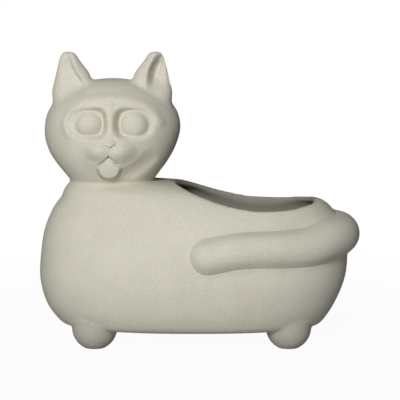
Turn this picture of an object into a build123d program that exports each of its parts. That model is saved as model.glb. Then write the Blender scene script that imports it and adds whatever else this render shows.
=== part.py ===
from build123d import *
import math
import os

# Cat planter in sandy stoneware. Sizes in millimetres, +Z up, the head at -X, the face and the
# free end of the tail towards -Y. The origin is on the floor under the middle of the planter.

# Vessel body: a hollow loaf that stands clear of the floor on four feet
body_length = 231.0
body_depth = 136.0
body_height = 108.8
floor_gap = 13.1
body_wall = 4.5
body_floor = 7.0
body_roof = 5.0
drain_diameter = 12.0
drain_offset = 14.0

# Scooped mouth behind the head: an oval throat, and a rim that follows a saddle from end to end
mouth_start = 14.2
throat_length = 102.8
throat_depth = 93.0
throat_drop = 36.0
scoop_run = 137.4
scoop_dip = 18.2
scoop_dip_reach = 70.5
scoop_head_slope = 25.0
scoop_tail_slope = 11.0

# Head: a second hollow casting that sits on the shoulder
head_width = 101.6
head_depth = 86.0
head_height = 76.5
head_offset = 60.9
head_wall = 5.0
spigot_diameter = 30.0
spigot_length = 9.0
spigot_clearance = 0.5
vent_diameter = 12.0

# Ears: their height above their hidden base, and the scoop in the front of each
ear_base_level = 49.3
ear_height = 47.0
ear_width = 32.0
ear_thickness = 28.0
ear_spread = 62.0
ear_forward = 6.0
scoop_length = 40.0
scoop_width = 19.0
scoop_level = 80.0
scoop_spread = 71.0
scoop_forward = 18.5
scoop_lean = 0.9

# Face, with levels above the neck seat and spreads from middle to middle
socket_bowl_length = 78.0
socket_bowl_diameter = 60.6
socket_depth = 5.2
socket_spread = 38.8
socket_level = 45.2
socket_turn = 18.0
eye_diameter = 18.6
eye_bulge = 5.0
eye_spread = 32.8
eye_level = 44.3
bridge_width = 7.0
bridge_level = 45.0
bridge_length = 28.0
nose_width = 10.0
nose_height = 5.6
nose_reach = 45.0
nose_level = 30.8
puff_length = 22.4
puff_width = 17.0
puff_reach = 45.6
puff_spread = 18.4
puff_level = 24.6
chin_width = 19.0
chin_height = 15.0
chin_length = 14.0
chin_reach = 45.2
chin_level = 12.6
chin_corner = 2.0
muzzle_width = 48.0
muzzle_height = 36.0
muzzle_level = 21.0
muzzle_reach = 45.2
mouth_line_width = 1.2
mouth_line_depth = 2.2
mouth_line_reach = 10.5
mouth_line_drop = 7.0
mouth_line_level = 21.0

# Tail: a thick tube luted on round the rump, half sunk in the body
tail_root_radius = 14.5
tail_flank_radius = 12.4
tail_root_height = 71.7
tail_flank_height = 66.1
tail_tip_droop = 5.0
tail_sunk = 2.5
tail_root_dive = 9.0

# Feet: balls with a small flat to stand on
foot_radius = 16.8
foot_flat_radius = 7.4
foot_end_inset = 43.6
foot_side_inset = 38.0
foot_shift = 1.8

# Drain plug: a soft stopper pushed in from inside
plug_clearance = 0.3
plug_flange_radius = 11.0
plug_flange_thickness = 2.5
plug_knob_radius = 4.0
plug_knob_height = 7.0
plug_stem_below = 1.5
plug_edge_round = 0.8

# One overrun carries every cut clear of the faces that it passes
overrun = 20.0

# Loaf sections from the underside up: height, reach to the head end, reach to the rump,
# half depth and the place of the widest point
body_section_shares = [
    (0.000, 0.810, 0.792, 0.700, 0.000),
    (0.045, 0.886, 0.854, 0.845, 0.000),
    (0.159, 0.961, 0.925, 0.945, 0.000),
    (0.327, 1.000, 0.982, 1.000, 0.000),
    (0.496, 0.994, 1.000, 0.985, 0.000),
    (0.665, 0.969, 0.972, 0.905, 0.000),
    (0.805, 0.915, 0.901, 0.795, -0.030),
    (0.862, 0.885, 0.830, 0.740, -0.060),
    (0.900, 0.862, 0.715, 0.690, -0.120),
    (0.932, 0.845, 0.545, 0.635, -0.200),
    (0.957, 0.828, 0.350, 0.580, -0.290),
    (0.980, 0.806, 0.110, 0.510, -0.380),
    (1.000, 0.772, -0.180, 0.420, -0.480),
]
section_power_share = 0.77
chin_root_share = 1.4
section_points = 16

# Head sections from the neck up: height, half width, half depth and how far back the middle lies
head_section_shares = [
    (0.000, 0.618, 0.680, 0.010),
    (0.079, 0.697, 0.790, 0.005),
    (0.159, 0.793, 0.870, 0.000),
    (0.318, 0.933, 0.960, 0.000),
    (0.528, 1.000, 1.000, 0.000),
    (0.690, 0.942, 0.942, 0.000),
    (0.822, 0.787, 0.800, 0.000),
    (0.926, 0.549, 0.580, 0.000),
    (1.000, 0.240, 0.280, 0.000),
]

# Ear sections from the base up: height, how far out the middle lies, half width, half thickness
ear_section_shares = [
    (0.000, -0.110, 0.890, 0.960),
    (0.300, -0.062, 0.985, 0.855),
    (0.610, -0.070, 0.834, 0.610),
    (0.810, 0.005, 0.547, 0.430),
    (0.936, 0.033, 0.372, 0.300),
    (1.000, 0.042, 0.190, 0.150),
]

# Stations of the tail: angle round the rump in degrees, how much of the root's height and
# thickness is left, how much of the tip's droop is reached, how much of the root's dive is left
tail_station_shares = [
    (40.0, 0.70, 0.00, 1.00),
    (22.0, 0.90, 0.00, 0.35),
    (4.0, 1.00, 0.00, 0.00),
    (-14.0, 0.98, 0.00, 0.00),
    (-31.0, 0.90, 0.00, 0.00),
    (-46.0, 0.34, 0.00, 0.00),
    (-61.0, 0.03, 0.00, 0.00),
    (-77.0, 0.00, 0.20, 0.00),
    (-87.0, 0.00, 1.00, 0.00),
]


def body_levels(inset, low, high):
    """Loaf sections between two heights, drawn in all round by the inset."""
    levels = []
    for height, head_end, rump, depth, crest in body_section_shares:
        level = (
            low + height * (high - low),
            body_centre_x - head_end * body_length / 2 + inset,
            body_centre_x + rump * body_length / 2 - inset,
            depth * body_depth / 2 - inset,
            body_centre_x + crest * body_length / 2,
        )
        levels.append(level)
    return levels


def head_levels(inset, low, high):
    """Head sections between two heights: height, half width, half depth and middle."""
    levels = []
    for height, width, depth, back in head_section_shares:
        level = (
            low + height * (high - low),
            width * head_width / 2 - inset,
            depth * head_depth / 2 - inset,
            head_y + back * head_depth,
        )
        levels.append(level)
    return levels


def blend(levels, height):
    """The section at any height, in proportion between its two neighbours."""
    for lower, upper in zip(levels, levels[1:]):
        if height <= upper[0]:
            part = (height - lower[0]) / (upper[0] - lower[0])
            return [a + part * (b - a) for a, b in zip(lower, upper)]
    return levels[-1]


def fuller(value):
    """A sine or cosine pushed outwards, so that an oval fills its corners."""
    return math.copysign(abs(value) ** section_power_share, value)


def loaf_point(level, angle, inset):
    """The place on a loaf section at an angle from +X, drawn in by the inset."""
    height, head_end, rump, depth, crest = level
    along = fuller(math.cos(angle))
    reach = rump - crest if along > 0 else crest - head_end
    across = (depth - inset) * fuller(math.sin(angle))
    return Vector(crest + (reach - inset) * along, body_centre_y + across, height)


def loaf(levels):
    """A smooth solid through loaf sections."""
    with BuildPart() as solid:
        for level in levels:
            angles = [math.pi + 2 * math.pi * step / section_points for step in range(section_points)]
            places = [loaf_point(level, angle, 0) for angle in angles]
            with BuildSketch(Plane.XY.offset(level[0])):
                with BuildLine():
                    Spline(*[(place.X, place.Y) for place in places], periodic=True)
                make_face()
        loft()
        split(bisect_by=Plane.XY.offset(levels[-1][0]), keep=Keep.BOTTOM)
    return solid.part


def skull(levels):
    """A smooth solid through head sections."""
    with BuildPart() as solid:
        for height, half_width, half_depth, middle in levels:
            with BuildSketch(Plane.XY.offset(height)):
                with Locations((head_x, middle)):
                    Ellipse(half_width, half_depth)
        loft()
    return solid.part


def egg(middle, towards, half_length, radius):
    """Half an ellipse turned about its own axis, which points towards the given direction."""
    side = Vector(0, 0, 1) if abs(towards.Z) < abs(towards.Y) + abs(towards.X) else Vector(0, 1, 0)
    with BuildPart() as solid:
        with BuildSketch(Plane(origin=middle, x_dir=towards, z_dir=towards.cross(side))):
            with BuildLine():
                EllipticalCenterArc((0, 0), half_length, radius, start_angle=0, arc_size=180)
                Line((-half_length, 0), (half_length, 0))
            make_face()
        revolve(axis=Axis(middle, towards))
    return solid.part


def head_place(across, forward, level):
    """A place on the head: sideways from its middle, towards the viewer, above the neck seat."""
    return Vector(head_x + across, head_y - forward, neck_seat + level)


def head_front(across, level):
    """How far the bare skull reaches towards the viewer at a place on the face."""
    section = blend(head_levels(0, neck_seat, skull_top), neck_seat + level)
    share = across / section[1]
    return section[2] * math.sqrt(1 - share * share) - (section[3] - head_y)


# The tail adds to the planter's length at the rump and to its depth in front, so the body's
# middle lies off the origin by half of each
shoulder_top = floor_gap + body_height
tail_root_level = floor_gap + tail_root_height
tail_flank_level = floor_gap + tail_flank_height
body_centre_x = 0.0
body_centre_y = 0.0
centred_levels = body_levels(0, floor_gap, shoulder_top)
rump_reach = blend(centred_levels, tail_root_level)[2] - tail_sunk + tail_root_radius
flank_reach = blend(centred_levels, tail_flank_level)[3] - tail_sunk + tail_flank_radius
body_centre_x = -(rump_reach - body_length / 2) / 2
body_centre_y = (flank_reach - body_depth / 2) / 2

outer_levels = body_levels(0, floor_gap, shoulder_top)
cavity_floor = floor_gap + body_floor
cavity_levels = body_levels(body_wall, cavity_floor, shoulder_top - body_roof)
neck_seat = shoulder_top
skull_top = neck_seat + head_height
head_x = body_centre_x - head_offset
head_y = body_centre_y

# Body: outer skin, room for the soil with the throat above it, and the saddle that cuts the rim
body_skin = loaf(outer_levels)
mouth_left = body_centre_x - mouth_start
dip_x = mouth_left + scoop_dip_reach
dip_z = shoulder_top - scoop_dip
drain_x = body_centre_x + drain_offset
with BuildPart() as soil_room:
    add(loaf(cavity_levels))
    with BuildSketch(Plane.XY.offset(shoulder_top - throat_drop)):
        with Locations((mouth_left + throat_length / 2, body_centre_y)):
            Ellipse(throat_length / 2, throat_depth / 2)
    extrude(amount=throat_drop + overrun)
with BuildPart() as saddle:
    with BuildSketch(Plane.XZ):
        with BuildLine():
            left_end = mouth_left - overrun
            right_end = mouth_left + scoop_run
            rim = Spline(
                (left_end, shoulder_top + overrun * math.sin(math.radians(scoop_head_slope))),
                (dip_x, dip_z),
                (right_end, dip_z + scoop_dip / 2),
                tangents=[
                    (math.cos(math.radians(scoop_head_slope)), -math.sin(math.radians(scoop_head_slope))),
                    (1, 0),
                    (math.cos(math.radians(scoop_tail_slope)), math.sin(math.radians(scoop_tail_slope))),
                ],
            )
            Polyline(
                rim @ 1,
                (right_end, shoulder_top + body_height),
                (left_end, shoulder_top + body_height),
                rim @ 0,
            )
        make_face()
    extrude(amount=body_depth, both=True)

with BuildPart() as body_shell:
    add(body_skin)
    add(saddle.part, mode=Mode.SUBTRACT)
    add(soil_room.part, mode=Mode.SUBTRACT)
    with BuildSketch(Plane.XY):
        with Locations((drain_x, body_centre_y)):
            Circle(drain_diameter / 2)
    extrude(amount=cavity_floor + overrun, mode=Mode.SUBTRACT)
    with BuildSketch(Plane.XY.offset(shoulder_top - overrun)):
        with Locations((head_x, head_y)):
            Circle(spigot_diameter / 2 + spigot_clearance)
    extrude(amount=overrun * 2, mode=Mode.SUBTRACT)

# Head: the skull, its hollow, and a shallow bowl round each eye that is turned to face outwards
skull_skin = skull(head_levels(0, neck_seat, skull_top))
skull_hollow = skull(head_levels(head_wall, neck_seat + head_wall, skull_top - head_wall))
socket_front = head_front(socket_spread / 2, socket_level)
socket_bowls = []
for side in (-1, 1):
    turn = math.radians(side * socket_turn)
    outwards = Vector(math.sin(turn), -math.cos(turn), 0)
    bed = head_place(side * socket_spread / 2, socket_front - socket_depth, socket_level)
    bowl_middle = bed + outwards * (socket_bowl_diameter / 2)
    along = Vector(math.cos(turn), math.sin(turn), 0)
    socket_bowls.append(egg(bowl_middle, along, socket_bowl_length / 2, socket_bowl_diameter / 2))

sideways = Vector(1, 0, 0)
eye_ball_radius = (eye_diameter * eye_diameter / 4 + eye_bulge * eye_bulge) / (2 * eye_bulge)
eye_front = head_front(eye_spread / 2, eye_level) - socket_depth + eye_bulge
eye_places = [head_place(side * eye_spread / 2, eye_front - eye_ball_radius, eye_level) for side in (-1, 1)]
snout_root = muzzle_reach - muzzle_height / 2
snout = egg(head_place(0, snout_root, muzzle_level), sideways, muzzle_width / 2, muzzle_height / 2)
puffs = [
    egg(
        head_place(side * puff_spread / 2, puff_reach - puff_width / 2, puff_level),
        sideways,
        puff_length / 2,
        puff_width / 2,
    )
    for side in (-1, 1)
]
bridge_ends = []
for level in (bridge_level - bridge_length / 2, bridge_level + bridge_length / 2):
    bridge_ends.append(head_place(0, head_front(0, level), level))
bridge_middle = (bridge_ends[0] + bridge_ends[1]) / 2
bridge = egg(bridge_middle, bridge_ends[1] - bridge_ends[0], bridge_length / 2, bridge_width / 2)
nose_middle = head_place(0, nose_reach - nose_height / 2, nose_level)
nose = egg(nose_middle, sideways, nose_width / 2, nose_height / 2)
ear_scoops = []
for side in (-1, 1):
    scoop_middle = head_place(side * scoop_spread / 2, scoop_forward, scoop_level)
    lean = Vector(side * scoop_lean, 0, scoop_length)
    ear_scoops.append(egg(scoop_middle, lean, scoop_length / 2, scoop_width / 2))

# Ears: ovals that narrow and swing outwards to a blunt tip
ears = []
for side in (-1, 1):
    with BuildPart() as ear:
        for height, outward, width, thickness in ear_section_shares:
            across = side * (ear_spread / 2 + outward * ear_width)
            middle = head_place(across, ear_forward, ear_base_level + height * ear_height)
            with BuildSketch(Plane.XY.offset(middle.Z)):
                with Locations((middle.X, middle.Y)):
                    Ellipse(width * ear_width / 2, thickness * ear_thickness / 2)
        loft()
    ears.append(ear.part)

# Chin: a tapering diamond under the line of the mouth
with BuildPart() as chin:
    for reach, size in ((chin_reach - chin_length, chin_root_share), (chin_reach, 1)):
        with BuildSketch(Plane.XZ.offset(reach - head_y)):
            with BuildLine():
                Polyline(
                    (head_x - size * chin_width / 2, neck_seat + chin_level),
                    (head_x, neck_seat + chin_level + size * chin_height / 2),
                    (head_x + size * chin_width / 2, neck_seat + chin_level),
                    (head_x, neck_seat + chin_level - size * chin_height / 2),
                    close=True,
                )
            make_face()
            fillet(vertices(), radius=chin_corner)
    loft()

# Line of the mouth: a narrow upturned V cut across the front of the muzzle
with BuildPart() as mouth_line:
    with BuildSketch(Plane.XZ.offset(-head_y + muzzle_reach - mouth_line_depth)):
        with BuildLine():
            Polyline(
                (head_x - mouth_line_reach, neck_seat + mouth_line_level - mouth_line_drop),
                (head_x, neck_seat + mouth_line_level),
                (head_x + mouth_line_reach, neck_seat + mouth_line_level - mouth_line_drop),
            )
            offset(amount=mouth_line_width / 2, side=Side.BOTH)
        make_face()
    extrude(amount=overrun)

with BuildPart() as head:
    add(skull_skin)
    for ear in ears:
        add(ear)
    for scoop in ear_scoops:
        add(scoop, mode=Mode.SUBTRACT)
    add(snout)
    for bowl in socket_bowls:
        add(bowl, mode=Mode.SUBTRACT)
    with Locations(*eye_places):
        Sphere(eye_ball_radius)
    for lump in puffs + [bridge, nose, chin.part]:
        add(lump)
    add(mouth_line.part, mode=Mode.SUBTRACT)
    with BuildSketch(Plane.XY.offset(neck_seat)):
        with Locations((head_x, head_y)):
            Circle(spigot_diameter / 2)
    extrude(amount=-spigot_length)
    add(skull_hollow, mode=Mode.SUBTRACT)
    with BuildSketch(Plane.XY.offset(neck_seat - spigot_length)):
        with Locations((head_x, head_y)):
            Circle(vent_diameter / 2)
    extrude(amount=spigot_length + head_wall + overrun / 2, mode=Mode.SUBTRACT)

# Tail: circles along the body's own outline, from the root behind the rump to the drooping round tip
tail_places = []
tail_radii = []
for angle, root, droop, dive in tail_station_shares:
    height = tail_flank_level + root * (tail_root_level - tail_flank_level) - droop * tail_tip_droop
    level = blend(outer_levels, height)
    tail_places.append(loaf_point(level, math.radians(angle), tail_sunk + dive * tail_root_dive))
    tail_radii.append(tail_flank_radius + root * (tail_root_radius - tail_flank_radius))
with BuildLine() as tail_line:
    Spline(*tail_places)
tail_path = tail_line.edge()
with BuildPart() as tail:
    for place, radius in zip(tail_places, tail_radii):
        with BuildSketch(Plane(origin=place, z_dir=tail_path % tail_path.param_at_point(place))):
            Circle(radius)
    sweep(path=tail_path, multisection=True)
    with Locations(Plane(origin=tail_path @ 1, z_dir=tail_path % 1)):
        Sphere(tail_radii[-1], arc_size1=0, align=(Align.CENTER, Align.CENTER, Align.MIN))
    add(body_skin, mode=Mode.SUBTRACT)

# Feet: each ball is cut flat at the floor and fitted to the underside
foot_height = math.sqrt(foot_radius**2 - foot_flat_radius**2)
foot_reach = body_length / 2 - foot_end_inset
foot_spread = body_depth / 2 - foot_side_inset
feet = {}
for end, along in (("rear", 1), ("front", -1)):
    for hand, across in (("left", -1), ("right", 1)):
        foot_x = body_centre_x - foot_shift + along * foot_reach
        foot_y = body_centre_y + across * foot_spread
        with BuildPart() as foot:
            with Locations((foot_x, foot_y, foot_height)):
                Sphere(foot_radius)
            split(bisect_by=Plane.XY, keep=Keep.TOP)
            add(body_skin, mode=Mode.SUBTRACT)
        feet[f"{end}_{hand}_foot"] = foot

# Drain plug: a knob to pull, a flange on the floor of the cavity and a stem through the hole
stem_radius = drain_diameter / 2 - plug_clearance
stem_end = floor_gap - plug_stem_below
flange_top = cavity_floor + plug_flange_thickness
with BuildPart() as drain_plug:
    with BuildSketch(Plane.XY.offset(stem_end)):
        with Locations((drain_x, body_centre_y)):
            Circle(stem_radius)
    extrude(amount=cavity_floor - stem_end)
    with BuildSketch(Plane.XY.offset(cavity_floor)):
        with Locations((drain_x, body_centre_y)):
            Circle(plug_flange_radius)
    extrude(amount=plug_flange_thickness)
    with BuildSketch(Plane.XY.offset(flange_top)):
        with Locations((drain_x, body_centre_y)):
            Circle(plug_knob_radius)
    extrude(amount=plug_knob_height)
    fillet(drain_plug.faces().sort_by(Axis.Z)[-1].edges(), radius=plug_edge_round)

pieces = {"body_shell": body_shell, "head": head, "tail": tail, "drain_plug": drain_plug}
pieces.update(feet)
os.makedirs("parts", exist_ok=True)
for name, piece in pieces.items():
    piece.part.label = name
    export_step(piece.part, f"parts/{name}.step")
    print(name, round(piece.part.volume), piece.part.bounding_box())
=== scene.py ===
import math

import bmesh
import bpy
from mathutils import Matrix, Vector
from mathutils.bvhtree import BVHTree


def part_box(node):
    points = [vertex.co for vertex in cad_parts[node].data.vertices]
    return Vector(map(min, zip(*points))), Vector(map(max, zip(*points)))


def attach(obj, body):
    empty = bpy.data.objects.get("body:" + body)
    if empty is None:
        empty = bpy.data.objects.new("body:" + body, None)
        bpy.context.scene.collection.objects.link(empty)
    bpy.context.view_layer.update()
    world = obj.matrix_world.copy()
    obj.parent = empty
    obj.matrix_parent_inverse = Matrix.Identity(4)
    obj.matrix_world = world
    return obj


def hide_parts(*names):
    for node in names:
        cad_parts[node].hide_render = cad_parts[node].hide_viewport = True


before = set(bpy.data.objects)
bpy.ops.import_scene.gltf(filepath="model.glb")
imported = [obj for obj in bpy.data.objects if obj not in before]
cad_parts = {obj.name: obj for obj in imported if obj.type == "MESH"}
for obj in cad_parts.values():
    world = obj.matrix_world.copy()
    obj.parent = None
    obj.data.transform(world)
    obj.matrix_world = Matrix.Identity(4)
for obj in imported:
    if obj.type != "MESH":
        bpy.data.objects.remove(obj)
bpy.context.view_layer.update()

# One millimetre in the scene's metres: sizes below are in millimetres
MM = 0.001

# Where the CAD pieces are
shell_low, shell_high = [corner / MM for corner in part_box("body_shell")]
head_low, head_high = [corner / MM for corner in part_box("head")]
plug_low, plug_high = [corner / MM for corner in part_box("drain_plug")]
foot_names = ["front_left_foot", "front_right_foot", "rear_left_foot", "rear_right_foot"]

# Body
body_length = shell_high.x - shell_low.x
body_depth = shell_high.y - shell_low.y
body_height = shell_high.z - shell_low.z
body_mid = (shell_low + shell_high) / 2
body_wall = 5.0
body_floor = 7.0
body_roof = 5.0
body_voxel = 1.5
body_sides = 96
rings_per_span = 4
body_smoothing = 6
drain_radius = 6.2
drain_drill = 40.0

# How deep in the wall the tail and the feet end
seam_depth = 2.5

# Mouth: its inner edge is an oval in plan, its rim a saddle seen from the side
mouth_left = body_mid.x - 12.6
throat_length = 102.4
throat_depth = 92.0
throat_fullness = 0.95
scoop_dip = 18.2
scoop_dip_reach = 69.0
scoop_run = 135.9
scoop_head_slope = 22.0
scoop_tail_slope = 11.0

# How far the saddle has dropped at the mouth's head end, and the plate that cuts it
scoop_head_drop = 1.6
saddle_lead = 8.0
saddle_length = 140.0
saddle_steps = 90

# The throat's cutter, below and above the neck seat
throat_below = 34.0
throat_above = 20.0

# Where the clay gets painted shade, a darker colour standing in for the shade inside the soil room
# and on the rear rim: the rim's width, where its dark part ends as a share of the rim's oval, its
# depth under the saddle and its start at the rear, how far the middle of the soil room lies towards
# the rump, and depths of the bed and the roof under the neck seat
rim_width = 5.0
rim_edge = 1.06
rim_fade = 0.08
rim_band = 16.0
band_fade = 12.0
rear_start = 4.0
rear_run = 12.0
room_shift = 15.0
bed_depth = 40.0
roof_depth = 30.0

# Head
neck_seat = shell_high.z
head_mid = Vector((head_low.x / 2 + head_high.x / 2, body_mid.y, neck_seat))
head_half_width = 50.8
head_half_depth = 43.0
head_height = 76.5
head_voxel = 0.75
head_sides = 96
head_sink = 3.0
ear_sides = 64
ear_seam = 5.5
ear_smoothing = 60

# Loaf sections from the underside up: height, reach to the head end, reach to the rump,
# half depth and the place of the widest point, as shares of the body's half sizes
loaf_shares = [
    (0.000, 0.790, 0.772, 0.660, 0.000),
    (0.011, 0.844, 0.818, 0.745, 0.000),
    (0.045, 0.887, 0.853, 0.845, 0.000),
    (0.159, 0.961, 0.921, 0.945, 0.000),
    (0.327, 1.001, 0.984, 1.000, 0.000),
    (0.496, 0.994, 1.000, 0.985, 0.000),
    (0.665, 0.969, 0.972, 0.905, 0.000),
    (0.805, 0.915, 0.901, 0.795, -0.030),
    (0.862, 0.877, 0.830, 0.740, -0.060),
    (0.900, 0.852, 0.715, 0.690, -0.120),
    (0.932, 0.845, 0.545, 0.635, -0.200),
    (0.957, 0.828, 0.320, 0.570, -0.290),
    (0.980, 0.812, -0.020, 0.485, -0.380),
    (1.000, 0.780, -0.280, 0.410, -0.480),
]
rump_fullness = 0.81
front_fullness = 0.86

# Head sections from the neck up: height, half width, half depth, as shares of the head's own
# sizes, and how far the middle lies to the right of the head's axis
skull_shares = [
    (0.000, 0.612, 0.680, -0.016),
    (0.079, 0.700, 0.790, -0.018),
    (0.159, 0.795, 0.870, -0.022),
    (0.238, 0.874, 0.925, -0.024),
    (0.318, 0.935, 0.960, -0.022),
    (0.422, 0.985, 0.990, -0.014),
    (0.528, 1.000, 1.000, -0.002),
    (0.650, 0.966, 0.970, 0.000),
    (0.764, 0.866, 0.875, 0.000),
    (0.862, 0.707, 0.720, 0.000),
    (0.937, 0.500, 0.515, 0.000),
    (0.984, 0.259, 0.270, 0.000),
    (1.000, 0.000, 0.000, 0.000),
]

# Ear sections: level above the neck seat, middle, half width, half thickness, how far forward
ear_rows = [
    (48.0, 27.0, 14.0, 13.5, 5.0),
    (55.0, 28.2, 15.2, 13.0, 5.5),
    (61.0, 29.0, 15.8, 12.3, 6.0),
    (67.0, 29.3, 15.4, 11.2, 6.0),
    (72.0, 29.2, 14.5, 10.2, 6.0),
    (78.0, 28.9, 13.3, 8.8, 6.0),
    (83.0, 29.8, 11.2, 7.5, 6.0),
    (87.3, 31.0, 9.0, 6.2, 6.0),
    (91.0, 31.8, 7.2, 5.2, 6.0),
    (93.6, 32.1, 5.9, 4.3, 6.0),
    (95.4, 32.3, 4.3, 3.3, 6.0),
    (96.3, 32.4, 1.9, 1.5, 6.0),
]

# The inner border of the scoop in the front of the left and of the right ear, and the outer edge
# of both: level, then distances from the head's middle
scoop_rows = [
    (60.0, 18.0, 24.0, 46.0),
    (66.0, 18.4, 24.6, 44.8),
    (74.0, 19.8, 25.2, 43.0),
    (78.0, 22.4, 25.6, 42.1),
    (82.0, 25.2, 26.2, 41.2),
    (87.0, 27.4, 28.2, 39.9),
    (92.0, 28.8, 30.6, 38.2),
    (97.0, 30.0, 33.0, 36.0),
]

# Scoop of the left and of the right ear: width of its wall, depth, and the level where it starts
left_scoop = (3.6, 4.8, 62.0)
right_scoop = (6.4, 12.0, 66.0)

# Lines along the head's front, as places sideways and above the neck seat
left_ear_ridge = [(-29.8, 96), (-28.6, 92), (-27.2, 87), (-24.8, 81.5), (-21.4, 77), (-16.5, 73)]
right_ear_ridge = [(31.6, 95), (27.6, 87), (25.6, 82), (24.8, 76)]
left_brow = [(-31, 37.5), (-33.4, 45), (-28.6, 55.8), (-17.8, 61.4), (-7.4, 63.4)]
right_brow = [(3, 63.8), (13.3, 63), (23.8, 59.4), (32, 54), (36.6, 45)]
cheek_fold = [(29.0, 20.0), (22.0, 13.4), (14.5, 9.0)]
cheek_ridge = [(35.5, 16.0), (28.5, 8.6), (21.5, 4.0)]
nose_bridge = [(0.7, 60), (0.5, 34)]
left_mouth = [(-8.0, 14.9), (-1.0, 20.9)]
right_mouth = [(-1.0, 20.9), (5.4, 15.6)]
left_groove = [(-2.6, 28.4), (-2.1, 25.0), (-1.1, 21.0)]
right_groove = [(1.2, 28.2), (0.6, 25.0), (-0.9, 21.0)]
left_nostril = [(-4.8, 29.4), (-2.4, 28.3)]
right_nostril = [(1.0, 28.2), (4.8, 30.2)]

# Whisker points: place sideways, level, radius and depth
whisker_points = [(-16.4, 26.8, 0.9, 0.3), (-13.2, 25.0, 0.9, 0.3), (-15.6, 25.2, 0.8, 0.25)]

# The window of the face with the finer mesh: sideways and above the neck seat
fine_across = (-24, 24)
fine_levels = (4, 60)

# Tail stations: angle round the rump in degrees, height over the underside, radius of the tube,
# and how far its middle is sunk under the body's skin
tail_rows = [
    (41.0, 62.5, 13.6, 11.5),
    (23.0, 68.2, 14.0, 6.6),
    (4.0, 70.0, 14.0, 3.4),
    (-14.0, 69.2, 14.4, 2.5),
    (-31.0, 67.9, 14.5, 2.5),
    (-46.0, 64.6, 13.7, 2.5),
    (-61.0, 63.6, 12.9, 2.5),
    (-77.0, 63.2, 12.6, 2.5),
    (-87.0, 59.6, 12.5, 2.5),
]
tail_steps = 90
tail_tip_steps = 12
tail_sides = 48

# Feet
foot_radius = 16.8
foot_flat_radius = 7.4
foot_edge_round = 0.8

# Seams: how near another piece the clay swells into a fillet
neck_fillet = 3.0
tail_fillet = 5.0
foot_fillet = 3.0


# Curves and soft steps

def smooth_row(rows, place):
    """A row of a table at any place between its rows, on a smooth curve through them."""
    index = min(int(place), len(rows) - 2)
    part = place - index
    before = rows[max(index - 1, 0)]
    start = rows[index]
    end = rows[index + 1]
    after = rows[min(index + 2, len(rows) - 1)]
    result = []
    for a, b, c, d in zip(before, start, end, after):
        slope_in = (c - a) / 2
        slope_out = (d - b) / 2
        square = part * part
        cube = square * part
        value = b * (2 * cube - 3 * square + 1) + slope_in * (cube - 2 * square + part)
        value += c * (3 * square - 2 * cube) + slope_out * (cube - square)
        result.append(value)
    return result


def row_at(rows, level):
    """The row of a table at a level, which is the rows' first number."""
    level = min(max(level, rows[0][0]), rows[-1][0])
    for index in range(len(rows) - 1):
        if level <= rows[index + 1][0]:
            part = (level - rows[index][0]) / (rows[index + 1][0] - rows[index][0])
            return smooth_row(rows, index + part)


def soft_step(value):
    """0 below 0, 1 above 1, and a smooth rise between."""
    value = min(max(value, 0), 1)
    return value * value * (3 - 2 * value)


def bump(distance):
    """A round hill: 1 at distance 0, down to 0 at distance 1 and beyond."""
    if distance >= 1:
        return 0
    return (1 - distance * distance) ** 2


def fuller(value, power):
    """A sine or cosine pushed outwards, so that an oval fills its corners."""
    return math.copysign(abs(value) ** power, value)


# Meshes

def ring_solid(rings, sides):
    """A closed mesh through rings. Each ring is a function from an angle to a place in millimetres."""
    mesh = bmesh.new()
    made = bmesh.ops.create_circle(mesh, segments=sides, radius=1, cap_ends=False)
    ring = made["verts"]
    angles = [2 * math.pi * step / sides for step in range(sides)]
    for vert, angle in zip(ring, angles):
        vert.co = rings[0](angle)
    bmesh.ops.contextual_create(mesh, geom=ring)
    edges = mesh.edges[:]
    for place in rings[1:]:
        out = bmesh.ops.extrude_edge_only(mesh, edges=edges)
        edges = [item for item in out["geom"] if isinstance(item, bmesh.types.BMEdge)]
        edges = [edge for edge in edges if len(edge.link_faces) == 1]
        new = [item for item in out["geom"] if isinstance(item, bmesh.types.BMVert)]
        new = sort_like(ring, new)
        for vert, angle in zip(new, angles):
            vert.co = place(angle)
        ring = new
    bmesh.ops.contextual_create(mesh, geom=ring)
    bmesh.ops.remove_doubles(mesh, verts=mesh.verts, dist=0.001)
    bmesh.ops.recalc_face_normals(mesh, faces=mesh.faces)
    return mesh


def sort_like(ring, new):
    """The new vertices in the order of the old ring that they were extruded from."""
    fresh = set(new)
    ordered = []
    for vert in ring:
        for edge in vert.link_edges:
            other = edge.other_vert(vert)
            if other in fresh:
                ordered.append(other)
                break
    return ordered


def mesh_object(mesh, name):
    """A scene object from a bmesh that is in millimetres."""
    bmesh.ops.scale(mesh, vec=(MM, MM, MM), verts=mesh.verts)
    data = bpy.data.meshes.new(name)
    mesh.to_mesh(data)
    mesh.free()
    made = bpy.data.objects.new(name, data)
    bpy.context.collection.objects.link(made)
    return made


def settle(piece):
    """Puts the result of a piece's modifiers into its mesh."""
    graph = bpy.context.evaluated_depsgraph_get()
    data = bpy.data.meshes.new_from_object(piece.evaluated_get(graph))
    piece.modifiers.clear()
    old = piece.data
    piece.data = data
    bpy.data.meshes.remove(old)
    return piece


def cut(piece, cutter):
    """Takes a closed cutter out of a piece, and drops the cutter."""
    modifier = piece.modifiers.new("cut", "BOOLEAN")
    modifier.operation = "DIFFERENCE"
    modifier.solver = "EXACT"
    modifier.object = cutter
    settle(piece)
    bpy.data.objects.remove(cutter)
    return piece


def fuse(piece, others, voxel):
    """Fuses closed lumps into one even skin of small faces."""
    bpy.context.view_layer.update()
    mesh = bmesh.new()
    for lump in [piece] + others:
        mesh.from_mesh(lump.data)
    mesh.to_mesh(piece.data)
    mesh.free()
    for lump in others:
        bpy.data.objects.remove(lump)
    modifier = piece.modifiers.new("skin", "REMESH")
    modifier.mode = "VOXEL"
    modifier.voxel_size = voxel * MM
    modifier.adaptivity = 0
    return settle(piece)


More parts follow.
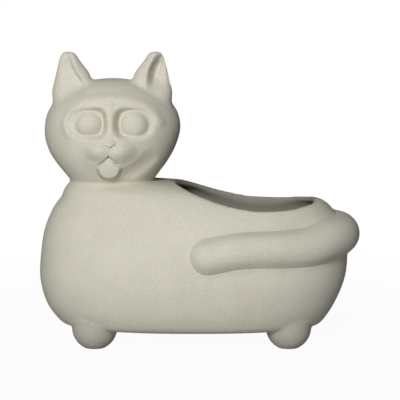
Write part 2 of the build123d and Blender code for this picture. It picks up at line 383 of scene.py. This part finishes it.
def smooth(piece, times, chosen=None):
    """Evens out a piece's mesh, or only the vertices at the places that a test chooses."""
    mesh = bmesh.new()
    mesh.from_mesh(piece.data)
    verts = mesh.verts[:]
    if chosen:
        verts = [vert for vert in verts if chosen(vert.co)]
    axes = {"use_axis_x": True, "use_axis_y": True, "use_axis_z": True}
    for _ in range(times):
        bmesh.ops.smooth_vert(mesh, verts=verts, factor=0.5, **axes)
    mesh.to_mesh(piece.data)
    mesh.free()


def tree_of(piece):
    """A search tree over a piece's faces."""
    mesh = bmesh.new()
    mesh.from_mesh(piece.data)
    tree = BVHTree.FromBMesh(mesh)
    mesh.free()
    return tree


def near_both(first, second, reach):
    """A test for places that are near two surfaces at once, as along the seam between them."""
    def chosen(place):
        if first.find_nearest(place, reach * MM)[0] is None:
            return False
        return second.find_nearest(place, reach * MM)[0] is not None
    return chosen


def soften(first, second, reach):
    """Swells two pieces towards each other where they meet, so that their seam reads as a fillet."""
    trees = [tree_of(piece) for piece in (first, second)]
    for piece, other in ((first, trees[1]), (second, trees[0])):
        mesh = bmesh.new()
        mesh.from_mesh(piece.data)
        mesh.normal_update()
        moves = []
        for vert in mesh.verts:
            found = other.find_nearest(vert.co, reach * MM)
            if found[0] is not None:
                near = (reach - found[3] / MM) ** 2 / (4 * reach)
                moves.append((vert, vert.normal * near * MM))
        for vert, move in moves:
            vert.co += move
        mesh.to_mesh(piece.data)
        mesh.free()


# The body: a loaf, hollowed, with a saddle shaped mouth

def loaf_place(row, low, high, inset, angle):
    """A place on a loaf section, drawn in by the inset."""
    height, head_end, rump, depth, crest = row
    crest_x = crest * body_length / 2
    fullness = rump_fullness if math.cos(angle) > 0 else front_fullness
    along = fuller(math.cos(angle), fullness)
    if along > 0:
        reach = rump * body_length / 2 - crest_x - inset
    else:
        reach = crest_x + head_end * body_length / 2 - inset
    across = (depth * body_depth / 2 - inset) * fuller(math.sin(angle), fullness)
    x = body_mid.x + crest_x + reach * along
    return Vector((x, body_mid.y + across, low + height * (high - low)))


def loaf_rings(low, high, inset):
    """Rings of the loaf between two heights."""
    rings = []
    spans = (len(loaf_shares) - 1) * rings_per_span
    for step in range(spans + 1):
        row = smooth_row(loaf_shares, step / rings_per_span)
        rings.append(lambda angle, row=row: loaf_place(row, low, high, inset, angle))
    return rings


def scoop_line(x):
    """Height of the mouth's saddle at a place along the body."""
    dip_x = mouth_left + scoop_dip_reach
    dip_z = neck_seat - scoop_dip
    if x < dip_x:
        reach = scoop_dip_reach
        rise = scoop_dip - scoop_head_drop
        part = (dip_x - x) / reach
        slope = math.tan(math.radians(scoop_head_slope)) * reach / rise
    else:
        reach = scoop_run - scoop_dip_reach
        rise = scoop_dip / 2
        part = (x - dip_x) / reach
        slope = math.tan(math.radians(scoop_tail_slope)) * reach / rise
    if part > 1:
        return dip_z + rise * (1 + slope * (part - 1))
    return dip_z + rise * ((3 - slope) * part ** 2 + (slope - 2) * part ** 3)


def saddle_cutter():
    """Everything above the saddle."""
    mesh = bmesh.new()
    bmesh.ops.create_grid(mesh, x_segments=saddle_steps, y_segments=2, size=1)
    for vert in mesh.verts:
        x = mouth_left - saddle_lead + (vert.co.x + 1) / 2 * saddle_length
        vert.co = Vector((x, body_mid.y + vert.co.y * body_depth, scoop_line(x)))
    out = bmesh.ops.extrude_face_region(mesh, geom=mesh.faces)
    for item in out["geom"]:
        if isinstance(item, bmesh.types.BMVert):
            item.co.z = neck_seat + body_height
    bmesh.ops.recalc_face_normals(mesh, faces=mesh.faces)
    return mesh_object(mesh, "saddle")


def throat_rings():
    """The upright throat inside the rim."""
    middle_x = mouth_left + throat_length / 2
    rings = []
    for z in (neck_seat - throat_below, neck_seat + throat_above):
        rings.append(
            lambda angle, z=z: Vector(
                (
                    middle_x + throat_length / 2 * fuller(math.cos(angle), throat_fullness),
                    body_mid.y + throat_depth / 2 * fuller(math.sin(angle), throat_fullness),
                    z,
                )
            )
        )
    return rings


def rear_rim_shade_mask(place):
    """1 on the rim's top and inner edge at the rear, where a band of painted shade goes, 0 elsewhere."""
    if place.z < neck_seat - bed_depth:
        return 0
    along = (place.x - mouth_left - throat_length / 2) / (throat_length / 2 + rim_width)
    across = (place.y - body_mid.y) / (throat_depth / 2 + rim_width)
    over_throat = soft_step((rim_edge - math.hypot(along, across)) / rim_fade)
    return over_throat * soft_step((place.y - body_mid.y + rear_start) / rear_run)


def mark_painted_shade(vessel):
    """Marks the points of the soil room and of the rear rim, which get painted shade: a darker colour
    that stands in for the shade in there.
    """
    shade_marks = vessel.data.attributes.new("inside", "FLOAT", "POINT")
    rim_shade_marks = vessel.data.attributes.new("rim", "FLOAT", "POINT")
    for vert in vessel.data.vertices:
        place = vert.co / MM
        inwards = Vector((body_mid.x + room_shift - place.x, body_mid.y - place.y, 0)).normalized()
        wall = soft_step((vert.normal.dot(inwards) - 0.1) / 0.5)
        bed = 1 if vert.normal.z > 0.5 and place.z < neck_seat - bed_depth else 0
        roof = 1 if vert.normal.z < -0.3 and place.z > neck_seat - roof_depth else 0
        rim = rear_rim_shade_mask(place)
        shade_marks.data[vert.index].value = max(wall, bed, roof, rim)
        # A deeper band of painted shade down from the rear rim's edge
        band = soft_step((place.z - scoop_line(place.x) + rim_band) / band_fade)
        rim_shade_marks.data[vert.index].value = rim * band


def wall_core():
    """The loaf down to the depth in the wall where the tail and the feet end."""
    rings = loaf_rings(shell_low.z + seam_depth, neck_seat - seam_depth, seam_depth)
    return mesh_object(ring_solid(rings, body_sides), "core")


def drain_cutter():
    """A drill for the drain hole, round the plug's own axis."""
    mesh = bmesh.new()
    size = {"radius1": drain_radius, "radius2": drain_radius, "depth": drain_drill}
    bmesh.ops.create_cone(mesh, cap_ends=True, segments=64, **size)
    plug_middle = (plug_low + plug_high) / 2
    bmesh.ops.translate(mesh, vec=(plug_middle.x, plug_middle.y, shell_low.z), verts=mesh.verts)
    return mesh_object(mesh, "drain")


def make_body():
    """The vessel, from the underside to the rim."""
    vessel = mesh_object(ring_solid(loaf_rings(shell_low.z, neck_seat, 0), body_sides), "vessel")
    room = loaf_rings(shell_low.z + body_floor, neck_seat - body_roof, body_wall)
    cut(vessel, mesh_object(ring_solid(room, body_sides), "room"))
    cut(vessel, mesh_object(ring_solid(throat_rings(), body_sides), "throat"))
    cut(vessel, saddle_cutter())
    cut(vessel, drain_cutter())
    fuse(vessel, [], body_voxel)
    smooth(vessel, body_smoothing)
    mark_painted_shade(vessel)
    return vessel


# Head

def head_place(across, forward, level):
    """A place on the head: sideways, towards the viewer, above the neck seat."""
    return Vector((head_mid.x + across, head_mid.y - forward, neck_seat + level))


def oval(across, forward, level, half_width, half_depth):
    """A level oval of the head, as a function from an angle to a place."""
    middle = head_place(across, forward, level)
    return lambda angle: middle + Vector((half_width * math.cos(angle), half_depth * math.sin(angle), 0))


def skull_oval(level, width, depth, right):
    """A ring of the skull, with its half sizes and its place as shares of the head's own."""
    return oval(right * head_half_width, 0, level, width * head_half_width, depth * head_half_depth)


def skull_rings():
    """Rings of the skull, from inside the shoulder to the crown."""
    _, width, depth, right = skull_shares[0]
    rings = [skull_oval(-head_sink, width, depth, right)]
    for step in range((len(skull_shares) - 1) * rings_per_span):
        height, width, depth, right = smooth_row(skull_shares, step / rings_per_span)
        rings.append(skull_oval(height * head_height, width, depth, right))
    return rings


def ear_rings(side):
    """Rings of one ear, from inside the skull to the tip."""
    rings = []
    for step in range((len(ear_rows) - 1) * rings_per_span + 1):
        level, across, width, thickness, forward = smooth_row(ear_rows, step / rings_per_span)
        rings.append(oval(side * across, forward, level, width, thickness))
    return rings


def carve(piece, strokes):
    """Reshapes the front of the head. A stroke turns the reach towards the viewer into a new one."""
    front_reach, ear_level, front_normal = 8, 50, 0.1
    mesh = bmesh.new()
    mesh.from_mesh(piece.data)
    mesh.normal_update()
    moves = []
    for vert in mesh.verts:
        across = vert.co.x / MM - head_mid.x
        reach = head_mid.y - vert.co.y / MM
        level = vert.co.z / MM - neck_seat
        if vert.normal.y < front_normal and (reach > front_reach or level > ear_level):
            for stroke in strokes:
                reach = stroke(across, level, reach)
            moves.append((vert, (head_mid.y - reach) * MM))
    for vert, y in moves:
        vert.co.y = y
    mesh.to_mesh(piece.data)
    mesh.free()


def refine(piece, across, levels):
    """Halves the faces in a window on the front of the head, where fine lines follow."""
    mesh = bmesh.new()
    mesh.from_mesh(piece.data)
    front_reach, back_reach = 300, 20
    low = head_place(across[0], front_reach, levels[0]) * MM
    high = head_place(across[1], back_reach, levels[1]) * MM
    edges = []
    for edge in mesh.edges:
        middle = (edge.verts[0].co + edge.verts[1].co) / 2
        if all(a < b < c for a, b, c in zip(low, middle, high)):
            edges.append(edge)
    bmesh.ops.subdivide_edges(mesh, edges=edges, cuts=1, use_grid_fill=True)
    mesh.to_mesh(piece.data)
    mesh.free()


def dome(middle, half, height):
    """A soft round swelling."""
    def stroke(across, level, reach):
        distance = math.hypot((across - middle[0]) / half[0], (level - middle[1]) / half[1])
        return reach + height * bump(distance)
    return stroke


def socket(side, inner, outer, inner_wall):
    """A pan round one eye with a floor that faces the viewer and leans back a little."""
    half_width = (outer - inner) / 2
    half_height = 13.6
    middle = (outer + inner) / 2
    middle_level = 45.6
    outer_power, inner_power = 2.3, 3.2
    side_wall, top_wall, inner_rate = 0.18, 0.60, 1.4
    bed_level, bed_reach, bed_lean, bed_rise = 46, 32.4, 0.12, 4.4

    def stroke(across, level, reach):
        out = (side * across - middle) / half_width
        up = (level - middle_level) / half_height
        power = outer_power if out > 0 else inner_power
        distance = (abs(out) ** power + abs(up) ** power) ** (1 / power)
        wall = side_wall + top_wall * min(up * up, 1)
        if out < 0:
            wall += (inner_wall - wall) * min(-inner_rate * out, 1)
        bed = bed_reach - bed_lean * (level - bed_level) + bed_rise * max(up, 0) ** 2
        return reach + (min(bed, reach) - reach) * soft_step((1 - distance) / wall)
    return stroke


def eyeball(middle, radius, top):
    """The front of a ball in a socket, with a fillet round it."""
    fillet = 1.8

    def stroke(across, level, reach):
        distance = math.hypot(across - middle[0], level - middle[1])
        if distance >= radius:
            return reach
        front = top - radius + math.sqrt(radius * radius - distance * distance)
        near = max(fillet - abs(front - reach), 0)
        return max(reach, front) + near * near / (4 * fillet)
    return stroke


def line(places, width, depth):
    """A soft line pressed in, or raised where the depth is negative, along a run of places."""
    runs = list(zip(places, places[1:]))

    def stroke(across, level, reach):
        nearest = 1000
        for (x0, z0), (x1, z1) in runs:
            dx, dz = x1 - x0, z1 - z0
            part = ((across - x0) * dx + (level - z0) * dz) / (dx * dx + dz * dz)
            part = min(max(part, 0), 1)
            nearest = min(nearest, math.hypot(across - x0 - part * dx, level - z0 - part * dz))
        return reach - depth * bump(nearest / width)
    return stroke


def chin(across, level, reach):
    """A plate under the mouth that faces the viewer: two straight sides above, round below."""
    middle, widest_level, crest_level = -0.9, 12.2, 17
    half_width, upper, lower = 9.9, 8.4, 9.6
    power = 2.2
    crest, side_round, level_round = 43.3, 60, 44
    upper_edge, lower_edge = 0.14, 0.34
    out = abs(across - middle) / half_width
    up = (level - widest_level) / upper
    down = (widest_level - level) / lower
    distance = out + up if up > 0 else (out ** power + down ** power) ** (1 / power)
    plate = crest - across * across / side_round - (level - crest_level) ** 2 / level_round
    edge = upper_edge if up > 0 else lower_edge
    return reach + (plate - reach) * soft_step((1 - distance) / edge)


def round_the_eyes(place):
    """A test for places on the front of the head, from below the sockets to above them."""
    front_reach, low_level, high_level = 15, 30, 61
    level = place.z / MM - neck_seat
    return place.y / MM < head_mid.y - front_reach and low_level < level < high_level


def ear_scoop(across, level, reach):
    """The hollow in the front of an ear, with a steep wall along its inner border."""
    if level < scoop_rows[0][0]:
        return reach
    _, left_border, right_border, edge = row_at(scoop_rows, level)
    border = left_border if across < 0 else right_border
    wall, depth, start = left_scoop if across < 0 else right_scoop
    start_run, tip_level, tip_run, tip_share, far_share = 12, 84, 10, 0.62, 0.35
    out = abs(across) - border
    if out <= 0 or abs(across) >= edge:
        return reach
    tip = 1 - tip_share * soft_step((level - tip_level) / tip_run)
    share = soft_step((level - start) / start_run) * tip
    fade = 1 - soft_step((abs(across) - border - wall) / (edge - border - wall))
    return reach - depth * share * soft_step(out / wall) * (far_share + (1 - far_share) * fade)


def make_head():
    """Skull and ears in one skin, with the face modelled into it."""
    skull = mesh_object(ring_solid(skull_rings(), head_sides), "cat_head")
    ears = [mesh_object(ring_solid(ear_rings(side), ear_sides), "ear") for side in (-1, 1)]
    skull_tree = tree_of(skull)
    ear_trees = [tree_of(ear) for ear in ears]
    fuse(skull, ears, head_voxel)
    smooth(skull, 4)
    for tree in ear_trees:
        smooth(skull, ear_smoothing, near_both(skull_tree, tree, ear_seam))
    carve(skull, [ear_scoop, line(left_ear_ridge, 4.6, -0.8), line(right_ear_ridge, 3.0, -0.6)])
    smooth(skull, 2)
    refine(skull, fine_across, fine_levels)

    # Muzzle and cheeks, brow band, folds, sockets and eyeballs
    strokes = [
        dome((0, 22.0), (25.0, 18.0), 4.4),
        dome((-10.3, 25.2), (11.0, 8.6), 3.5),
        dome((9.2, 24.8), (11.5, 9.2), 3.3),
        line(left_brow + right_brow, 4.8, -1.6),
        line(cheek_fold, 7.0, 1.9),
        line(cheek_ridge, 5.5, -0.4),
        socket(-1, 1.2, 33.8, 0.30),
        socket(1, 1.8, 37.0, 0.34),
        eyeball((-15.8, 43.8), 10.584, 39.7),
        eyeball((17.2, 43.6), 11.34, 40.1),
    ]
    carve(skull, strokes)
    smooth(skull, 3)
    smooth(skull, 5, round_the_eyes)

    # Bridge and tip of the nose, and the chin
    carve(skull, [line(nose_bridge, 2.4, -0.6), dome((0.4, 30.4), (6.0, 4.0), 2.4), chin])
    smooth(skull, 1)

    # Fine lines
    strokes = [
        line(left_mouth, 1.2, 2.2),
        line(right_mouth, 1.3, 1.8),
        line(left_groove, 0.9, 0.5),
        line(right_groove, 1.0, 0.8),
        line(left_nostril, 1.1, 1.1),
        line(right_nostril, 1.1, 1.3),
    ]
    for across, level, radius, depth in whisker_points:
        strokes.append(line([(across, level), (across + 0.2, level + 0.2)], radius, depth))
    carve(skull, strokes)
    return skull


# Tail

def tail_middle(part):
    """Middle of the tail's tube on the body's own outline, and the tube's radius."""
    degrees, height, radius, sunk = smooth_row(tail_rows, part * (len(tail_rows) - 1))
    row = row_at(loaf_shares, height / body_height)
    return loaf_place(row, shell_low.z, neck_seat, sunk, math.radians(degrees)), radius


def tube_ring(middle, along, radius):
    """A ring square to the tail's run."""
    side = along.cross(Vector((0, 0, 1))).normalized()
    up = side.cross(along)
    return lambda angle: middle + radius * (math.cos(angle) * side + math.sin(angle) * up)


def make_tail():
    """A tube from behind the rump to the flank, with a rounded tip."""
    nudge = 0.01
    rings = []
    for step in range(tail_steps + 1):
        part = step / tail_steps
        middle, radius = tail_middle(part)
        ahead, _ = tail_middle(min(part + nudge, 1))
        behind, _ = tail_middle(max(part - nudge, 0))
        along = (ahead - behind).normalized()
        rings.append(tube_ring(middle, along, radius))
    for step in range(1, tail_tip_steps):
        turn = step / tail_tip_steps * math.pi / 2
        rings.append(tube_ring(middle + along * radius * math.sin(turn), along, radius * math.cos(turn)))
    tail = mesh_object(ring_solid(rings, tail_sides), "cat_tail")
    return cut(tail, wall_core())


# Feet

def make_foot(name):
    """A ball with a flat to stand on, up into the body's wall."""
    low, high = [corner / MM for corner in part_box(name)]
    middle_x = low.x + foot_radius if name.startswith("front") else high.x - foot_radius
    middle_y = low.y + foot_radius if name.endswith("left_foot") else high.y - foot_radius
    middle_z = math.sqrt(foot_radius ** 2 - foot_flat_radius ** 2)
    mesh = bmesh.new()
    bmesh.ops.create_uvsphere(mesh, u_segments=72, v_segments=48, radius=foot_radius)
    bmesh.ops.translate(mesh, vec=(middle_x, middle_y, middle_z), verts=mesh.verts)
    geometry = mesh.verts[:] + mesh.edges[:] + mesh.faces[:]
    floor_plane = {"plane_co": (0, 0, 0), "plane_no": (0, 0, 1), "clear_inner": True}
    made = bmesh.ops.bisect_plane(mesh, geom=geometry, **floor_plane)
    rim = [item for item in made["geom_cut"] if isinstance(item, bmesh.types.BMEdge)]
    bmesh.ops.holes_fill(mesh, edges=rim)
    edge = {"affect": "EDGES", "offset": foot_edge_round, "segments": 3, "profile": 0.5, "material": -1}
    bmesh.ops.bevel(mesh, geom=rim, **edge)
    bmesh.ops.recalc_face_normals(mesh, faces=mesh.faces)
    return cut(mesh_object(mesh, name + "_ball"), wall_core())


# Materials

class Value:
    """A number that varies over a surface; arithmetic on it adds its Math nodes."""

    def __init__(self, paint, socket):
        self.paint = paint
        self.socket = socket

    def math(self, operation, first, second):
        return self.paint.node("ShaderNodeMath", {"operation": operation}, {0: first, 1: second}).value()

    def __add__(self, other):
        return self.math("ADD", self, other)

    __radd__ = __add__

    def __sub__(self, other):
        return self.math("SUBTRACT", self, other)

    def __rsub__(self, other):
        return self.math("SUBTRACT", other, self)

    def __mul__(self, other):
        return self.math("MULTIPLY", self, other)

    __rmul__ = __mul__


class Made:
    """A node that has been added, with its outputs by name or number."""

    def __init__(self, paint, node):
        self.paint = paint
        self.node = node

    def value(self, output=0):
        return Value(self.paint, self.node.outputs[output])


class Paint:
    """A material and the nodes that are added to it."""

    def __init__(self, name):
        self.material = bpy.data.materials.new(name)
        self.material.use_nodes = True
        self.tree = self.material.node_tree
        self.shader = self.tree.nodes["Principled BSDF"]

    def node(self, kind, settings, inputs):
        node = self.tree.nodes.new(kind)
        for name, value in settings.items():
            setattr(node, name, value)
        for name, value in inputs.items():
            self.feed(node.inputs[name], value)
        return Made(self, node)

    def feed(self, socket, value):
        if isinstance(value, Value):
            self.tree.links.new(value.socket, socket)
        else:
            socket.default_value = value

    def noise(self, scale, detail):
        """Noise in the object's own space, with its grains 1 / scale metres apart."""
        place = self.node("ShaderNodeTexCoord", {}, {}).value("Object")
        inputs = {"Vector": place, "Scale": scale, "Detail": detail, "Roughness": 0.5}
        return self.node("ShaderNodeTexNoise", {}, inputs).value("Fac")

    def attribute(self, name):
        """A number that a piece's mesh carries at each of its points."""
        return self.node("ShaderNodeAttribute", {"attribute_name": name}, {}).value("Fac")

    def blend(self, share, first, second):
        """A colour between two colours."""
        return self.node("ShaderNodeMix", {"data_type": "RGBA"}, {0: share, 6: first, 7: second}).value(2)


def linear(red, green, blue):
    """A colour from the usual 0 to 255 numbers."""
    result = []
    for part in (red / 255, green / 255, blue / 255):
        result.append(part / 12.92 if part <= 0.04045 else ((part + 0.055) / 1.055) ** 2.4)
    return (*result, 1)


clay_dark, clay_light = linear(194, 191, 175), linear(222, 219, 205)
# Painted shade: the feet are darker than the rest of the clay, for the shade under the body
foot_painted_shade_dark, foot_painted_shade_light = linear(166, 162, 150), linear(192, 188, 176)
# Painted shade: darker colours for the shade inside the soil room, and a darker band for the shade on the
# rear rim
painted_shade_inside_dark, painted_shade_inside_light = linear(161, 158, 146), linear(183, 180, 168)
rear_rim_painted_shade = linear(150, 147, 135)
rubber_dark, rubber_light = linear(52, 52, 50), linear(74, 74, 71)

# Scales of the grain, in grains to the metre
sand_scale = 1000
dust_scale = 2200
cloud_scale = 45
rubber_scale = 1500


def stoneware(name, dark, light):
    """Unglazed, sandy stoneware between two tones, with painted shade where the mesh marks the soil room
    and the rear rim.
    """
    paint = Paint(name)
    sand = paint.noise(sand_scale, 2.0)
    dust = paint.noise(dust_scale, 1.0)
    cloud = paint.noise(cloud_scale, 3.0)
    share = 0.5 + (sand - 0.5) * 1.2 + (dust - 0.5) * 0.5 + (cloud - 0.5) * 0.5
    outside = paint.blend(share, dark, light)
    # Painted shade: the soil room's inside and the rear rim take darker colours where the mesh marks them
    inside = paint.blend(share, painted_shade_inside_dark, painted_shade_inside_light)
    # Painted shade: the rear rim's band is darker still
    inside = paint.blend(paint.attribute("rim"), inside, rear_rim_painted_shade)
    paint.feed(paint.shader.inputs["Base Color"], paint.blend(paint.attribute("inside"), outside, inside))
    height = (sand - 0.5) * 0.7 + (dust - 0.5) * 0.3
    bump_node = paint.node("ShaderNodeBump", {}, {"Height": height, "Strength": 0.35, "Distance": 0.0005})
    paint.feed(paint.shader.inputs["Normal"], bump_node.value())
    paint.shader.inputs["Roughness"].default_value = 0.9
    paint.shader.inputs["Specular IOR Level"].default_value = 0.25
    return paint.material


def rubber():
    """Dark soft rubber."""
    paint = Paint("plug_rubber")
    sand = paint.noise(rubber_scale, 2.0)
    paint.feed(paint.shader.inputs["Base Color"], paint.blend(sand, rubber_dark, rubber_light))
    paint.shader.inputs["Roughness"].default_value = 0.6
    return paint.material


clay = stoneware("stoneware", clay_dark, clay_light)
# The feet's material carries painted shade, for the shade under the body
foot_clay_painted_shade = stoneware("stoneware_foot_painted_shade", foot_painted_shade_dark, foot_painted_shade_light)
dark_rubber = rubber()


def finish(piece, node, material):
    """Gives a fired piece its material and its place on the object."""
    piece.data.materials.clear()
    piece.data.materials.append(material)
    for face in piece.data.polygons:
        face.use_smooth = True
    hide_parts(node)
    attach(piece, "pot")


vessel = make_body()
cat_head = make_head()
cat_tail = make_tail()
feet = {name: make_foot(name) for name in foot_names}
soften(vessel, cat_head, neck_fillet)
soften(vessel, cat_tail, tail_fillet)
for foot in feet.values():
    soften(vessel, foot, foot_fillet)
finish(vessel, "body_shell", clay)
finish(cat_head, "head", clay)
finish(cat_tail, "tail", clay)
for name, foot in feet.items():
    finish(foot, name, foot_clay_painted_shade)
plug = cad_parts["drain_plug"]
plug.data.materials.clear()
plug.data.materials.append(dark_rubber)


# Floor, light and camera

# The camera sees the floor as plain white further out, and nearly white round the planter, where
# its shadow stays faintly visible
floor_half_side = 6000
floor_mesh = bmesh.new()
bmesh.ops.create_grid(floor_mesh, x_segments=1, y_segments=1, size=floor_half_side)
floor = mesh_object(floor_mesh, "floor")
floor_paint = Paint("floor")
floor_paint.shader.inputs["Base Color"].default_value = (0.5, 0.5, 0.5, 1)
floor_paint.shader.inputs["Roughness"].default_value = 0.9
floor_place = floor_paint.node("ShaderNodeTexCoord", {}, {}).value("Object")
floor_length = floor_paint.node("ShaderNodeVectorMath", {"operation": "LENGTH"}, {0: floor_place})
floor_reach = floor_length.value("Value")
near_range = {"Value": floor_reach, "From Min": 0.16, "From Max": 0.5, "To Min": 0.96, "To Max": 1.0}
whiteness = floor_paint.node("ShaderNodeMapRange", {}, near_range).value(0)
camera_ray = floor_paint.node("ShaderNodeLightPath", {}, {}).value("Is Camera Ray")
white = floor_paint.node("ShaderNodeEmission", {}, {"Color": (1, 1, 1, 1), "Strength": 1.0})
mixed = floor_paint.node("ShaderNodeMixShader", {}, {0: camera_ray * whiteness})
floor_paint.tree.links.new(floor_paint.shader.outputs[0], mixed.node.inputs[1])
floor_paint.tree.links.new(white.node.outputs[0], mixed.node.inputs[2])
floor_paint.tree.links.new(mixed.node.outputs[0], floor_paint.tree.nodes["Material Output"].inputs[0])
floor.data.materials.append(floor_paint.material)


# Places and sizes of the lamps are in metres
lamp_target = Vector((0, 0, 0.1))


def lamp(name, place, size, power):
    """A soft square lamp that looks at the planter."""
    data = bpy.data.lights.new(name, "AREA")
    data.size = size
    data.energy = power
    made = bpy.data.objects.new(name, data)
    made.location = place
    made.rotation_euler = (lamp_target - Vector(place)).to_track_quat("-Z", "Y").to_euler()
    bpy.context.collection.objects.link(made)


lamp("key", (-0.30, -1.32, 0.72), 0.5, 17.2)
lamp("top", (-0.1, -0.3, 1.5), 0.9, 1.2)

# The world lights softly, and the camera sees it as plain white
world = bpy.data.worlds.new("studio")
bpy.context.scene.world = world
world.use_nodes = True
tree = world.node_tree
ambient = tree.nodes["Background"]
ambient.inputs["Color"].default_value = (1.0, 0.96, 0.95, 1)
ambient.inputs["Strength"].default_value = 0.08
plain = tree.nodes.new("ShaderNodeBackground")
plain.inputs["Color"].default_value = (1, 1, 1, 1)
path = tree.nodes.new("ShaderNodeLightPath")
choose = tree.nodes.new("ShaderNodeMixShader")
tree.links.new(path.outputs["Is Camera Ray"], choose.inputs[0])
tree.links.new(ambient.outputs[0], choose.inputs[1])
tree.links.new(plain.outputs[0], choose.inputs[2])
tree.links.new(choose.outputs[0], tree.nodes["World Output"].inputs[0])
bpy.context.scene.view_settings.view_transform = "Standard"

# The camera looks at the front from a few degrees above
camera_distance = 1200.0
camera_rise = 7.0
look_at = Vector((0, 0, 106.8))
frame_width = 301.0
sensor = 36.0
camera_data = bpy.data.cameras.new("camera")
camera = bpy.data.objects.new("camera", camera_data)
bpy.context.collection.objects.link(camera)
camera_data.sensor_width = sensor
camera_data.lens = sensor * camera_distance / frame_width
rise = math.radians(camera_rise)
camera.location = (look_at + camera_distance * Vector((0, -math.cos(rise), math.sin(rise)))) * MM
camera.rotation_euler = (math.pi / 2 - rise, 0, 0)
bpy.context.scene.camera = camera
